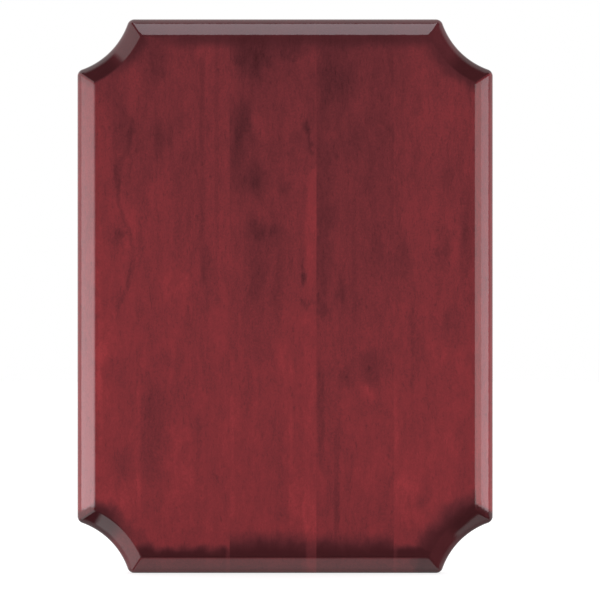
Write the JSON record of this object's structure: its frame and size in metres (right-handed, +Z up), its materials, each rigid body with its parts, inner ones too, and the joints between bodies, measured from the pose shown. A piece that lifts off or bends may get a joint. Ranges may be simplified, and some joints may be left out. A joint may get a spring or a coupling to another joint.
{
  "type": "wooden plaque",
  "caption": "Upright award plaque with scooped corners and a bevelled front edge, edge-glued from lacquered red-brown staves, with flush keyhole hangers and felt pads on its back.",
  "frame": {"origin": "centre of the board's flat back face, midway across its width and height", "axes": "+X to the viewer's right along the width, +Y out of the back towards the wall, +Z up along the height and the grain"},
  "size_m": [0.2286, 0.021, 0.3048],
  "materials": {
    "lacquered_wood": "gloss",
    "plated_steel": "satin",
    "screw_steel": "satin",
    "felt": "matte"
  },
  "bodies": {
    "root": {"stave_1": "lacquered_wood", "stave_2": "lacquered_wood", "stave_3": "lacquered_wood", "stave_4": "lacquered_wood", "stave_5": "lacquered_wood", "portrait_keyhole_plate": "plated_steel", "landscape_keyhole_plate": "plated_steel", "portrait_plate_screws": "screw_steel", "landscape_plate_screws": "screw_steel", "bumper_top_left": "felt", "bumper_top_right": "felt", "bumper_bottom_left": "felt", "bumper_bottom_right": "felt"}
  },
  "joints": []
}
